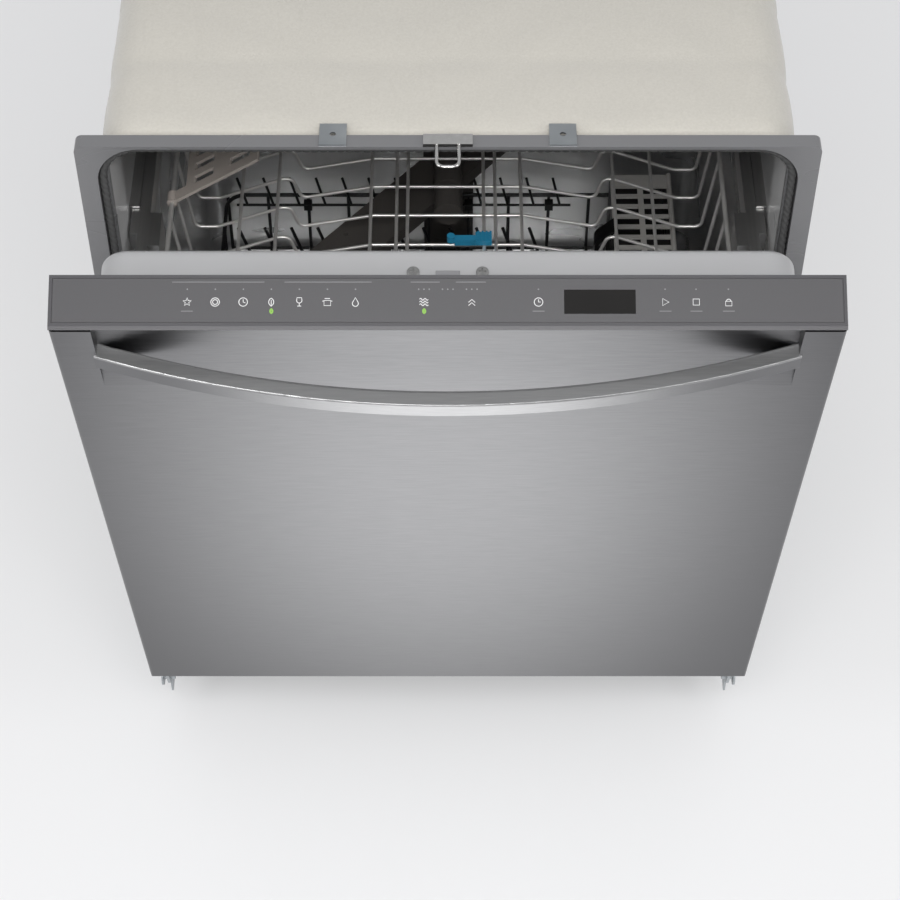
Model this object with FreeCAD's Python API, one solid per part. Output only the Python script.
import FreeCAD, Part
import math
import os

# A built-in dishwasher with its door ajar, in millimetres.
# X runs to the right, Y to the back and Z up from the floor. While the pieces are made, Y starts at
# the front of the tub's flange, the door is shut and the racks are home.

Vector = FreeCAD.Vector
X_AXIS = Vector(1, 0, 0)
Y_AXIS = Vector(0, 1, 0)
Z_AXIS = Vector(0, 0, 1)
SIDES = (-1, 1)
parallel_share = 0.999
match_tolerance = 0.001

# Shared allowances
overrun = 5.0
running_gap = 0.3
pin_gap = 0.1
seat_gap = 0.3

# Tub and its flange
tub_width = 556.0
tub_depth = 545.0
tub_height = 667.0
tub_floor_z = 165.0
tub_wall = 2.0
tub_corner_radius = 28.0
tub_back_radius = 18.0
gasket_seat_width = 8.0
gasket_seat_depth = 10.0
gasket_radius = 3.5
flange_face = 16.0
flange_top_face = 3.0
flange_return = 14.0
flange_corner_radius = 6.0
blanket_thickness = 8.0
blanket_gap = 0.3
blanket_front_y = 20.0
blanket_back_margin = 5.0
blanket_hem_z = 220.0

# Base under the tub
frame_sheet = 2.0
frame_half_width = 298.0
frame_front_y = 16.0
frame_lower_front_y = 62.0
frame_back_y = 540.0
frame_foot_z = 30.0
frame_lower_flange = 40.0
frame_upper_flange = 54.0
hose_hole_radius = 26.0
crossmember_depth = 30.0
crossmember_height = 38.0
crossmember_drop = 4.0
crossmember_front_y = 20.0
crossmember_rear_y = 500.0
pan_inset = 30.0
pan_front_y = 110.0
pan_back_y = 535.0
pan_lip = 12.0
toe_front_y = 84.0
toe_top_z = 148.0
toe_bottom_z = 36.0
toe_return = 26.0
toe_gap = 0.5
frame_screw_radius = 2.5
frame_screw_head_radius = 5.0
frame_screw_head = 2.4
frame_screw_length = 10.0

# Levelling feet
foot_pad_radius = 18.0
foot_pad_height = 12.0
foot_collar_radius = 11.0
foot_stud_radius = 5.0
foot_stud_top_z = 62.0
foot_inset = 18.0
foot_front_y = 100.0
foot_back_y = 480.0

# Sump, filter and water path
sump_y = 275.0
sump_radius = 84.0
sump_wall = 4.0
sump_rim = 17.0
sump_rim_height = 3.0
sump_bottom_z = 95.0
post_radius = 13.0
post_top_z = 183.0
post_pin_radius = 9.0
post_pin_length = 17.0
filter_plate_radius = 92.0
filter_plate_thickness = 1.5
filter_x = 46.0
filter_offset_y = 20.0
filter_radius = 28.0
filter_wall = 2.0
filter_cap_radius = 33.0
filter_cap_height = 4.0
filter_grip_height = 7.0
filter_grip_width = 8.0
filter_bottom_z = 105.0
wash_motor_radius = 44.0
wash_motor_length = 150.0
wash_motor_z = 106.0
drain_motor_radius = 26.0
drain_motor_length = 66.0
drain_motor_z = 120.0
drain_spigot_radius = 9.5
drain_spigot_length = 30.0
element_ring_radius = 188.0
element_radius = 4.0
element_height = 13.0
element_gap_angle = 50.0
element_leg = 40.0
conduit_width = 56.0
conduit_depth = 20.0
conduit_height = 13.0
conduit_wall_gap = 0.3
conduit_start_y = 372.0
dock_radius = 20.0
dock_length = 3.0
ceiling_boss_radius = 16.0
ceiling_boss_height = 12.0
ceiling_pin_radius = 8.0
ceiling_pin_length = 14.0

# Spray arms
arm_thickness = 14.0
lower_arm_half_length = 222.0
lower_arm_width = 50.0
middle_arm_half_length = 205.0
middle_arm_width = 48.0
middle_arm_turn = 50.0
ceiling_arm_half_length = 130.0
ceiling_arm_width = 40.0
jet_radius = 2.0
jet_depth = 3.0
jet_shares = (0.35, 0.55, 0.75, 0.92)

# Float
float_x = -180.0
float_y = 90.0
float_radius = 20.0
float_height = 28.0
float_stem_radius = 4.0
float_stem_length = 30.0

# Supply fittings behind the toe panel
valve_x = -200.0
valve_width = 44.0
valve_depth = 30.0
valve_height = 36.0
valve_spigot_radius = 8.0
valve_spigot_length = 20.0
junction_x = 190.0
junction_width = 80.0
junction_depth = 32.0
junction_height = 56.0
junction_wall = 2.0
knockout_radius = 11.0

# Strike and counter brackets
strike_wire_radius = 1.5
strike_leg_spacing = 18.0
strike_reach = 24.5
strike_bend = 6.0
strike_plate_half_width = 20.0
strike_plate_depth = 12.0
strike_plate_thickness = 3.2
bracket_x = 93.0
bracket_width = 22.0
bracket_depth = 25.0
bracket_sheet = 1.5
bracket_hole_radius = 2.5
bracket_setback = 1.0

# Door
door_ajar = 11.68
door_width = 604.0
door_thickness = 41.0
door_gap = 2.0
steel_sheet = 1.0
steel_height = 689.6
steel_bottom_z = 166.0
steel_edge_radius = 3.0
steel_hem = 10.0
hinge_y = -17.0
hinge_z = 110.0
hinge_pin_radius = 5.0
hinge_ear_radius = 11.0
hinge_arm_sheet = 3.0
hinge_arm_gap = 4.0
hinge_arm_width = 26.0
hinge_arm_top_z = 330.0
hinge_arm_boss = 9.0
pocket_half_width = 270.0
pocket_depth = 12.0
pocket_flat_height = 15.6
pocket_fade_height = 75.0
pocket_edge_run = 0.3
handle_height = 17.0
handle_thickness = 14.0
handle_bow_radius = 888.0
handle_half_length = 272.0
handle_reach = 45.0
handle_drop = 34.2
handle_front_radius = 1.2
handle_rear_radius = 3.0
handle_seat_gap = 0.1
liner_sheet = 2.0
liner_half_width = 274.0
liner_depth = 53.0
liner_corner_radius = 24.0
liner_rim_radius = 8.0
liner_plug_bottom_z = 190.0
liner_skirt_z = 130.0
liner_top_drop = 28.0
seal_end_gap = 6.0
seal_depth = 15.0
seal_height = 18.0
seal_lip = 4.0

# Console on top of the door
console_gap = 2.6
console_bevel_depth = 2.6
console_bevel_rise = 1.6
console_rise = 12.9
console_wall = 2.5
console_inset = 1.5
console_front_gap = 0.5
console_roof_gap = 0.7
overlay_inset = 2.5
overlay_groove = 0.6
overlay_depth = 0.8
display_left_x = 88.0
display_width = 54.0
display_front_inset = 9.7
display_length = 18.7
board_half_width = 140.0
board_thickness = 1.6
board_post_radius = 3.0
board_post_height = 4.0
board_margin = 2.0
latch_half_width = 24.0
latch_slot_half_width = 14.0
latch_slot_half_height = 8.0
latch_height = 22.4
latch_screw_x = 27.0
latch_screw_y = 29.0
screw_head_radius = 5.0
screw_head_height = 2.2
screw_shank_radius = 2.0
screw_shank_length = 8.0
screw_slot_width = 1.4
screw_slot_length = 5.6
screw_slot_depth = 1.2

# Detergent and rinse-aid dispenser on the liner
dispenser_x = 60.0
dispenser_z = 520.0
dispenser_width = 150.0
dispenser_height = 106.0
dispenser_rim = 2.0
dispenser_rim_width = 6.0
dispenser_body_depth = 26.0
cup_width = 70.0
cup_height = 66.0
cup_depth = 22.0
cup_margin = 12.0
dispenser_lid_overlap = 4.0
dispenser_lid_thickness = 2.6
lid_barrel_radius = 2.0
rinse_x = 44.0
rinse_radius = 17.0
rinse_cap_height = 4.0
rinse_grip_width = 6.0
rinse_grip_height = 4.0

# Rails that carry the upper rack
rail_z = 690.0
rail_front_y = 75.0
rail_length = 440.0
rail_sheet = 2.0
rail_flange = 7.0
rail_half_height = 12.0
rail_gap = 0.6
rail_bar_width = 14.0

# Upper rack. The racks follow the door as it opens.
upper_rack_reach_per_radian = 300.0
upper_rack_front_y = 75.0
upper_floor_z = 600.0
upper_rack_pitch = 38.0
upper_rack_bays = 11
upper_half_floor = 236.0
upper_wall_lean = 10.0
upper_rim_height = 72.0
plateau_half_width = 70.0
trough_x = 138.0
hump_start_x = 146.0
hump_end_x = 155.0
outer_trough_x = 215.0
trough_drop = 14.5
hump_rise = 10.0
floor_upturn = 20.0
floor_bend = 7.0
wire_radius = 1.6
rim_radius = 2.2
rim_corner = 22.0
upper_y_wire_shares = (-0.82, -0.67, -0.305, -0.203, -0.16, 0.14, 0.186, 0.288, 0.653, 0.81)
bracket_block_length = 40.0
bracket_place_shares = (0.08, 0.92)
feed_tube_z = 583.5
feed_tube_radius = 13.5
feed_tube_bore = 11.0
feed_tube_front_inset = 170.0
feed_tube_rear_y = 518.0
feed_ring_radius = 14.3
feed_ring_width = 3.0
feed_ring_shares = (0.12, 0.3, 0.48, 0.66)
middle_hub_y = 333.0
middle_boss_radius = 15.0
middle_boss_height = 18.0
middle_pin_radius = 8.0
middle_pin_length = 14.0
blue_clip_bay = 3
blue_clip_start = 25.0
blue_clip_width = 15.0
blue_clip_depth = 12.0
blue_clip_height = 7.0
blue_clip_rise = 2.0
blue_bar_depth = 6.0
blue_bar_height = 4.5
blue_knob_x = 2.5
blue_knob_radius = 3.6
blue_rib_count = 4
blue_rib_depth = 1.5
shelf_length = 266.0
shelf_width = 80.0
shelf_start_bay = 3
shelf_offset = 16.0
shelf_sheet = 3.0
shelf_tilt = 33.5
shelf_ring_radius = 4.6
shelf_ring_length = 12.0
shelf_slot_length = 22.0
shelf_slot_width = 9.0
shelf_slot_pitch = 17.0
shelf_margin = 10.0

# Lower rack
lower_rack_reach_per_radian = 120.0
lower_rack_front_y = 64.0
lower_floor_z = 225.0
lower_rack_pitch = 56.25
lower_rack_bays = 8
lower_half_width = 246.0
lower_rim_height = 84.0
lower_wire_radius = 1.8
lower_cross_count = 10
lower_tine_pitch = 29.0
lower_tine_count = 12
lower_tine_start_x = -205.0
lower_tine_length = 92.0
lower_tine_lean = 16.0
lower_tine_bays = (1, 3, 5, 7)

# Folding tine rows on the lower rack's back wall, left (-1) and right (1) of the middle
tine_rod_spans = {-1: (-236.0, -10.0), 1: (14.0, 136.0)}
tine_numbers = {-1: range(-8, 0), 1: range(1, 5)}
tine_middle_x = 8.0
tine_rod_rise = 75.0
tine_radius = 1.5
tine_length = 42.0
tine_lean = 12.5
clip_size = 9.0
clip_crosses = {-1: (2, 4), 1: (6, 8)}

# Wheels of the lower rack
wheel_radius = 21.5
wheel_width = 10.0
wheel_x = 241.0
wheel_bore = 4.2
wheel_front_inset = 66.0
wheel_rear_inset = 60.0
axle_radius = 4.0
axle_arm_sheet = 3.0
axle_arm_width = 14.0

# Silverware basket in the lower rack
basket_right_margin = 5.0
basket_width = 64.0
basket_length = 270.0
basket_rear_inset = 12.0
basket_height = 118.0
basket_wall = 2.4
basket_clearance = 0.4
basket_slot_width = 8.0
basket_slot_pitch = 16.0
basket_slot_margin = 14.0
basket_cells = 3
basket_lid_sheet = 2.4
basket_lid_slot_length = 26.0
basket_lid_slot_width = 10.5
basket_lid_slot_pitch = 15.5
basket_lid_barrel = 2.6
strap_width = 18.0
strap_thickness = 4.0
strap_rise = 62.0
strap_swing = 20.0
strap_bend = 10.0
strap_overlap = 40.0


# Values worked out from the sizes above
half_tub = tub_width / 2
tub_ceiling_z = tub_floor_z + tub_height
flange_half = half_tub + gasket_seat_width + flange_face
flange_top_z = tub_ceiling_z + gasket_seat_width + flange_top_face
flange_bottom_z = tub_floor_z - gasket_seat_width - flange_face / 2
half_door = door_width / 2
frame_inner_x = frame_half_width - frame_sheet
foot_x = frame_half_width - foot_inset
pan_half_width = frame_half_width - pan_inset
hinge_arm_x = frame_inner_x - hinge_arm_gap - hinge_arm_sheet
door_front_y = -(door_thickness + door_gap)
door_rear_y = -door_gap
steel_top_z = steel_bottom_z + steel_height
liner_top_z = steel_top_z - liner_top_drop
liner_face_y = door_rear_y + liner_depth
console_front_z = steel_top_z + console_gap
console_rear_z = console_front_z + console_rise
console_body_y = door_front_y + pocket_depth + steel_sheet + console_front_gap
strike_z = flange_top_z + strike_plate_thickness / 2
frame_top_z = tub_floor_z - tub_wall
upper_rack_depth = upper_rack_pitch * upper_rack_bays
upper_half_rim = upper_half_floor + upper_wall_lean
upper_rim_z = upper_floor_z + upper_rim_height
lower_rack_depth = lower_rack_pitch * lower_rack_bays
lower_rim_z = lower_floor_z + lower_rim_height
outer_rail_inner_x = half_tub - rail_sheet - rail_flange
rail_bar_outer_x = half_tub - rail_sheet - rail_gap
rail_bar_inner_x = rail_bar_outer_x - rail_bar_width
rack_rail_inner_x = rail_bar_inner_x - rail_gap - rail_sheet
wheel_z = tub_floor_z + seat_gap + wheel_radius
wheel_front_y = lower_rack_front_y + wheel_front_inset
wheel_rear_y = lower_rack_front_y + lower_rack_depth - wheel_rear_inset
door_turn = math.radians(door_ajar)
upper_rail_shift = -upper_rack_reach_per_radian / 2 * door_turn
upper_rack_shift = -upper_rack_reach_per_radian * door_turn
lower_rack_shift = -lower_rack_reach_per_radian * door_turn


# Shape helpers
def block(x, y, z):
    """A box between a low and a high value on each axis."""
    size = (x[1] - x[0], y[1] - y[0], z[1] - z[0])
    return Part.makeBox(*size, Vector(x[0], y[0], z[0]))


def rod(start, end, radius):
    """A round bar between two points."""
    run = end - start
    return Part.makeCylinder(radius, run.Length, start, run)


def along(edge, axis):
    """Whether an edge is straight and runs along an axis."""
    return isinstance(edge.Curve, Part.Line) and abs(edge.Curve.Direction.dot(axis)) > parallel_share


def lies_at(edge, axis, value):
    """Whether both ends of an edge are at one value of an axis."""
    return all(abs(corner.Point.dot(axis) - value) < match_tolerance for corner in edge.Vertexes)


def rounded(shape, radius, chosen):
    """The shape with the chosen edges rounded."""
    return shape.makeFillet(radius, [edge for edge in shape.Edges if chosen(edge)])


def rounded_prism(half_width, low_z, high_z, radius, front_y, back_y):
    """A box along Y whose four long edges are round."""
    shape = block((-half_width, half_width), (front_y, back_y), (low_z, high_z))
    return rounded(shape, radius, lambda edge: along(edge, Y_AXIS))


def prism_x(outline, half_width):
    """A closed outline of (y, z) points drawn out along X, both ways from the middle."""
    points = [Vector(-half_width, y, z) for y, z in outline]
    face = Part.Face(Part.makePolygon(points + points[:1]))
    return face.extrude(X_AXIS * half_width * 2)


def plate_x(outline, low_x, sheet):
    """A plate of (y, z) points with its thickness along X."""
    points = [Vector(low_x, y, z) for y, z in outline]
    face = Part.Face(Part.makePolygon(points + points[:1]))
    return face.extrude(X_AXIS * sheet)


def bent_path(points, bend):
    """A wire through the points with each corner turned on the bend radius."""
    edges = []
    start = points[0]
    for before, corner, after in zip(points, points[1:], points[2:]):
        into = Vector(corner - before).normalize()
        out = Vector(after - corner).normalize()
        half_turn = into.getAngle(out) / 2
        reach = bend * math.tan(half_turn)
        inward = Vector(out - into).normalize()
        middle = corner + inward * (bend / math.cos(half_turn) - bend)
        edges.append(Part.LineSegment(start, corner - into * reach).toShape())
        edges.append(Part.Arc(corner - into * reach, middle, corner + out * reach).toShape())
        start = corner + out * reach
    edges.append(Part.LineSegment(start, points[-1]).toShape())
    return Part.Wire(edges)


def bent_rod(points, radius, bend):
    """A round wire bent along the points."""
    circle = Part.Circle(points[0], points[1] - points[0], radius).toShape()
    return bent_path(points, bend).makePipe(Part.Face(Part.Wire(circle)))


def wire_rim(half_width, front_y, back_y, z):
    """A rack's top wire: four straight runs and four corner bends."""
    runs = []
    for side in SIDES:
        x = side * half_width
        runs.append(rod(Vector(x, front_y + rim_corner, z), Vector(x, back_y - rim_corner, z), rim_radius))
        for y, inward in ((front_y, 1), (back_y, -1)):
            corner = [
                Vector(x, y + inward * rim_corner, z),
                Vector(x, y, z),
                Vector(x - side * rim_corner, y, z),
            ]
            runs.append(bent_rod(corner, rim_radius, rim_corner - rim_radius))
    reach = half_width - rim_corner
    for y in (front_y, back_y):
        runs.append(rod(Vector(-reach, y, z), Vector(reach, y, z), rim_radius))
    return runs


def spray_arm(half_length, width, centre, turn, pin_radius):
    """A flat arm with round ends and a hub bored from above or below, jets along its top.

    The centre is the middle of the arm's underside.
    """
    reach = half_length - width / 2
    body = block((-reach, reach), (-width / 2, width / 2), (0, arm_thickness))
    for side in SIDES:
        body = body.fuse(Part.makeCylinder(width / 2, arm_thickness, Vector(side * reach, 0, 0)))
    body = body.removeSplitter()
    bore_length = arm_thickness + overrun * 2
    body = body.cut(Part.makeCylinder(pin_radius + running_gap, bore_length, -Z_AXIS * overrun))
    for side in SIDES:
        for share in jet_shares:
            jet = Vector(side * reach * share, width / 4, arm_thickness - jet_depth)
            body = body.cut(Part.makeCylinder(jet_radius, jet_depth + overrun, jet))
    body.rotate(Vector(), Z_AXIS, turn)
    body.translate(centre)
    return body


# Tub and base pieces
def tub():
    """The stainless tub: floor, walls and ceiling, with a gasket seat and a folded flange in front."""
    space = rounded_prism(half_tub, tub_floor_z, tub_ceiling_z, tub_corner_radius, -overrun, tub_depth)
    space = rounded(space, tub_back_radius, lambda edge: lies_at(edge, Y_AXIS, tub_depth))
    back_y = tub_depth + tub_wall
    skin = rounded_prism(
        half_tub + tub_wall, tub_floor_z - tub_wall, tub_ceiling_z + tub_wall,
        tub_corner_radius + tub_wall, 0, back_y,
    )
    skin = rounded(skin, tub_back_radius + tub_wall, lambda edge: lies_at(edge, Y_AXIS, back_y))
    seat = gasket_seat_width
    seat_space = rounded_prism(
        half_tub + seat, tub_floor_z - seat, tub_ceiling_z + seat,
        tub_corner_radius + seat, -overrun, gasket_seat_depth,
    )
    step = seat + tub_wall
    seat_skin = rounded_prism(
        half_tub + step, tub_floor_z - step, tub_ceiling_z + step,
        tub_corner_radius + step, 0, gasket_seat_depth + tub_wall,
    )
    flange = rounded_prism(flange_half, flange_bottom_z, flange_top_z, flange_corner_radius, 0, flange_return)
    fold = rounded_prism(
        flange_half - tub_wall, flange_bottom_z + tub_wall, flange_top_z - tub_wall,
        flange_corner_radius - tub_wall, tub_wall, flange_return + overrun,
    )
    shape = flange.cut(fold).fuse([skin, seat_skin]).cut([space, seat_space])
    down = tub_wall + overrun * 2
    holes = [
        Part.makeCylinder(sump_radius, down, Vector(0, sump_y, tub_floor_z - tub_wall - overrun)),
        Part.makeCylinder(
            float_stem_radius + running_gap, down, Vector(float_x, float_y, tub_floor_z - tub_wall - overrun)
        ),
    ]
    for end in element_ends():
        low = Vector(end.x, end.y, tub_floor_z - tub_wall - overrun)
        holes.append(Part.makeCylinder(element_radius + pin_gap, down, low))
    return shape.cut(holes).removeSplitter()


def tub_gasket():
    """The door seal: a round cord up both sides and over the top of the gasket seat."""
    inset = gasket_seat_width - gasket_radius - seat_gap
    x = half_tub + inset
    y = gasket_seat_depth - gasket_radius - seat_gap
    top = tub_ceiling_z + inset
    low = tub_floor_z + tub_corner_radius
    points = [Vector(-x, y, low), Vector(-x, y, top), Vector(x, y, top), Vector(x, y, low)]
    return bent_rod(points, gasket_radius, tub_corner_radius + inset)


def insulation_blanket():
    """The felt jacket laid over the top and sides of the tub."""
    inner = half_tub + tub_wall + blanket_gap
    roof = tub_ceiling_z + tub_wall + blanket_gap
    back_y = tub_depth - blanket_back_margin
    outside = rounded_prism(
        inner + blanket_thickness, blanket_hem_z - tub_corner_radius * 2, roof + blanket_thickness,
        tub_corner_radius + blanket_thickness, blanket_front_y, back_y,
    )
    inside = rounded_prism(
        inner, blanket_hem_z - tub_corner_radius * 2 - overrun, roof, tub_corner_radius,
        blanket_front_y - overrun, back_y + overrun,
    )
    below = block(
        (-flange_half, flange_half), (blanket_front_y - overrun, back_y + overrun), (0, blanket_hem_z)
    )
    return outside.cut([inside, below])


def side_frame(side):
    """A folded side rail of the base, with a hose hole, the hinge ear and its riveted pin."""
    reach_y = (frame_front_y, frame_back_y)
    web = block((frame_inner_x, frame_half_width), reach_y, (frame_foot_z, frame_top_z))
    lower = block(
        (frame_half_width - frame_lower_flange, frame_half_width), (frame_lower_front_y, frame_back_y),
        (frame_foot_z, frame_foot_z + frame_sheet),
    )
    upper = block(
        (frame_half_width - frame_upper_flange, frame_half_width), reach_y,
        (frame_top_z - frame_sheet, frame_top_z),
    )
    ear = block(
        (frame_inner_x, frame_half_width), (hinge_y, frame_front_y + frame_sheet),
        (hinge_z - hinge_ear_radius, hinge_z + hinge_ear_radius),
    )
    nose = Part.makeCylinder(hinge_ear_radius, frame_sheet, Vector(frame_inner_x, hinge_y, hinge_z), X_AXIS)
    pin_start = hinge_arm_x - hinge_arm_boss / 2
    pin = Part.makeCylinder(
        hinge_pin_radius, frame_inner_x - pin_start, Vector(pin_start, hinge_y, hinge_z), X_AXIS
    )
    shape = web.fuse([lower, upper, ear, nose, pin]).removeSplitter()
    cuts = []
    for y in (foot_front_y, foot_back_y):
        low = Vector(foot_x, y, frame_foot_z - overrun)
        cuts.append(Part.makeCylinder(foot_stud_radius + running_gap, frame_sheet + overrun * 2, low))
    rounds = [(y, z, frame_screw_radius + pin_gap) for y, z in frame_screw_places()]
    rounds.append((sump_y, drain_motor_z, hose_hole_radius))
    for y, z, radius in rounds:
        start = Vector(frame_inner_x - overrun, y, z)
        cuts.append(Part.makeCylinder(radius, frame_sheet + overrun * 2, start, X_AXIS))
    shape = shape.cut(cuts)
    if side < 0:
        shape = shape.mirror(Vector(), X_AXIS)
    return shape


def frame_screw_places():
    """Where the screws go through a side frame into the crossmembers, as (y, z)."""
    z = frame_top_z - crossmember_drop - crossmember_height / 2
    middle = crossmember_depth / 2
    return [(crossmember_front_y + middle, z), (crossmember_rear_y + middle, z)]


def crossmember(front_y):
    """A square tube between the side frames, with a plug at each end for its screw."""
    reach = frame_inner_x
    high = frame_top_z - crossmember_drop
    low = high - crossmember_height
    y = (front_y, front_y + crossmember_depth)
    shape = block((-reach, reach), y, (low, high))
    hollow = block(
        (-reach + frame_screw_length, reach - frame_screw_length),
        (y[0] + frame_sheet, y[1] - frame_sheet), (low + frame_sheet, high - frame_sheet),
    )
    shape = shape.cut(hollow)
    for side in SIDES:
        start = Vector(side * (reach + overrun), front_y + crossmember_depth / 2, (low + high) / 2)
        bore = frame_screw_length + overrun * 2
        shape = shape.cut(Part.makeCylinder(frame_screw_radius + pin_gap, bore, start, X_AXIS * -side))
    return shape


def frame_screws():
    """The four screws that hold the base together."""
    screws = []
    for side in SIDES:
        for y, z in frame_screw_places():
            face = Vector(side * frame_half_width, y, z)
            head = Part.makeCylinder(frame_screw_head_radius, frame_screw_head, face, X_AXIS * side)
            shank = Part.makeCylinder(frame_screw_radius, frame_screw_length, face, X_AXIS * -side)
            screws.append(head.fuse(shank).removeSplitter())
    return Part.makeCompound(screws)


def base_pan():
    """The drip tray that rests on the lower flanges of the side frames."""
    low = frame_foot_z + frame_sheet
    tray = block((-pan_half_width, pan_half_width), (pan_front_y, pan_back_y), (low, low + pan_lip))
    inside = block(
        (-pan_half_width + frame_sheet, pan_half_width - frame_sheet),
        (pan_front_y + frame_sheet, pan_back_y - frame_sheet), (low + frame_sheet, low + pan_lip + overrun),
    )
    return tray.cut(inside)


def toe_kick_panel():
    """The recessed panel under the door, with a return at each end along the side frames."""
    half = frame_inner_x - toe_gap
    shape = block((-half, half), (toe_front_y, toe_front_y + toe_return), (toe_bottom_z, toe_top_z))
    inside = block(
        (-half + frame_sheet, half - frame_sheet),
        (toe_front_y + frame_sheet, toe_front_y + toe_return + overrun),
        (toe_bottom_z - overrun, toe_top_z + overrun),
    )
    return shape.cut(inside)


def foot(x, y):
    """A levelling foot: pad, collar that bears on the frame, and threaded stud."""
    pad = Part.makeCylinder(foot_pad_radius, foot_pad_height, Vector(x, y, 0))
    collar_top = frame_foot_z - seat_gap
    collar = Part.makeCylinder(foot_collar_radius, collar_top, Vector(x, y, 0))
    stud = Part.makeCylinder(foot_stud_radius, foot_stud_top_z, Vector(x, y, 0))
    return pad.fuse([collar, stud]).removeSplitter()


# Water pieces
def sump():
    """The bowl under the tub floor, with the post that carries the lower spray arm."""
    height = frame_top_z - sump_bottom_z
    bowl = Part.makeCylinder(sump_radius + sump_wall, height, Vector(0, sump_y, sump_bottom_z))
    rim = Part.makeCylinder(
        sump_radius + sump_rim, sump_rim_height, Vector(0, sump_y, frame_top_z - sump_rim_height)
    )
    inside = Part.makeCylinder(sump_radius, height, Vector(0, sump_y, sump_bottom_z + sump_wall))
    post = Part.makeCylinder(post_radius, post_top_z - sump_bottom_z, Vector(0, sump_y, sump_bottom_z))
    pin = Part.makeCylinder(post_pin_radius, post_pin_length, Vector(0, sump_y, post_top_z))
    return bowl.fuse(rim).cut(inside).fuse([post, pin]).removeSplitter()


def filter_plate():
    """The coarse filter disc over the sump, with holes for the post and the filter."""
    disc = Part.makeCylinder(filter_plate_radius, filter_plate_thickness, Vector(0, sump_y, tub_floor_z))
    depth = filter_plate_thickness + overrun * 2
    low_z = tub_floor_z - overrun
    post_hole = Part.makeCylinder(post_radius + running_gap, depth, Vector(0, sump_y, low_z))
    place = Vector(filter_x, sump_y + filter_offset_y, low_z)
    filter_hole = Part.makeCylinder(filter_radius + running_gap, depth, place)
    return disc.cut([post_hole, filter_hole])


def filter_cylinder():
    """The twist-out fine filter: a cup with a cap and a grip bar."""
    seat_z = tub_floor_z + filter_plate_thickness + seat_gap
    place = Vector(filter_x, sump_y + filter_offset_y, filter_bottom_z)
    cup = Part.makeCylinder(filter_radius, seat_z - filter_bottom_z, place)
    place.z = seat_z
    cap = Part.makeCylinder(filter_cap_radius, filter_cap_height, place)
    grip_z = seat_z + filter_cap_height
    grip = block(
        (filter_x - filter_grip_width / 2, filter_x + filter_grip_width / 2),
        (place.y - filter_radius, place.y + filter_radius), (grip_z, grip_z + filter_grip_height),
    )
    place.z = filter_bottom_z + filter_wall
    hollow = Part.makeCylinder(filter_radius - filter_wall, seat_z - filter_bottom_z - filter_wall, place)
    return cup.fuse([cap, grip]).cut(hollow).removeSplitter()


def bowl_outside():
    """The outside of the sump, grown by the seat gap, to fit the pumps against."""
    low = Vector(0, sump_y, sump_bottom_z - overrun)
    return Part.makeCylinder(sump_radius + sump_wall + seat_gap, tub_floor_z, low)


def wash_pump_motor():
    """The circulation pump on the left of the sump."""
    start = Vector(-sump_radius, sump_y, wash_motor_z)
    motor = Part.makeCylinder(wash_motor_radius, wash_motor_length, start, -X_AXIS)
    return motor.cut(bowl_outside())


def drain_pump():
    """The drain pump on the right of the sump, with its hose spigot."""
    start = Vector(sump_radius, sump_y, drain_motor_z)
    motor = Part.makeCylinder(drain_motor_radius, drain_motor_length, start, X_AXIS)
    end = start + X_AXIS * drain_motor_length
    spigot = Part.makeCylinder(drain_spigot_radius, drain_spigot_length, end, X_AXIS)
    return motor.fuse(spigot).cut(bowl_outside())


def inlet_valve():
    """The water inlet valve on the front crossmember, its threaded spigot pointing down."""
    y = crossmember_front_y + crossmember_depth
    top = frame_top_z - crossmember_drop
    body = block(
        (valve_x - valve_width / 2, valve_x + valve_width / 2), (y, y + valve_depth),
        (top - valve_height, top),
    )
    mouth = Vector(valve_x, y + valve_depth / 2, top - valve_height)
    return body.fuse(Part.makeCylinder(valve_spigot_radius, valve_spigot_length, mouth, -Z_AXIS))


def junction_box():
    """The supply junction box on the front crossmember, with a cable knockout in its floor."""
    y = crossmember_front_y + crossmember_depth
    top = frame_top_z - crossmember_drop
    x = (junction_x - junction_width / 2, junction_x + junction_width / 2)
    wall = junction_wall
    shape = block(x, (y, y + junction_depth), (top - junction_height, top))
    inside = block(
        (x[0] + wall, x[1] - wall), (y + wall, y + junction_depth - wall),
        (top - junction_height + wall, top - wall),
    )
    start = Vector(junction_x, y + junction_depth / 2, top - junction_height - overrun)
    return shape.cut([inside, Part.makeCylinder(knockout_radius, wall + overrun * 2, start)])


def element_ends():
    """The two ends of the heating element's ring, at the height of the tube."""
    ends = []
    for side in SIDES:
        angle = math.radians(90 + side * element_gap_angle / 2)
        ends.append(Vector(
            element_ring_radius * math.cos(angle),
            sump_y + element_ring_radius * math.sin(angle),
            tub_floor_z + element_height,
        ))
    return ends


def heating_element():
    """The sheathed heater: an open ring on the tub floor whose ends turn down through it."""
    centre = Vector(0, sump_y, tub_floor_z + element_height)
    ring = Part.makeTorus(
        element_ring_radius, element_radius, centre, Z_AXIS, -180, 180, 360 - element_gap_angle
    )
    ring.rotate(centre, Z_AXIS, 90 + element_gap_angle / 2)
    legs = []
    for end in element_ends():
        legs.append(Part.makeSphere(element_radius, end))
        legs.append(Part.makeCylinder(element_radius, element_leg, end, -Z_AXIS))
    return ring.fuse(legs)


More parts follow.
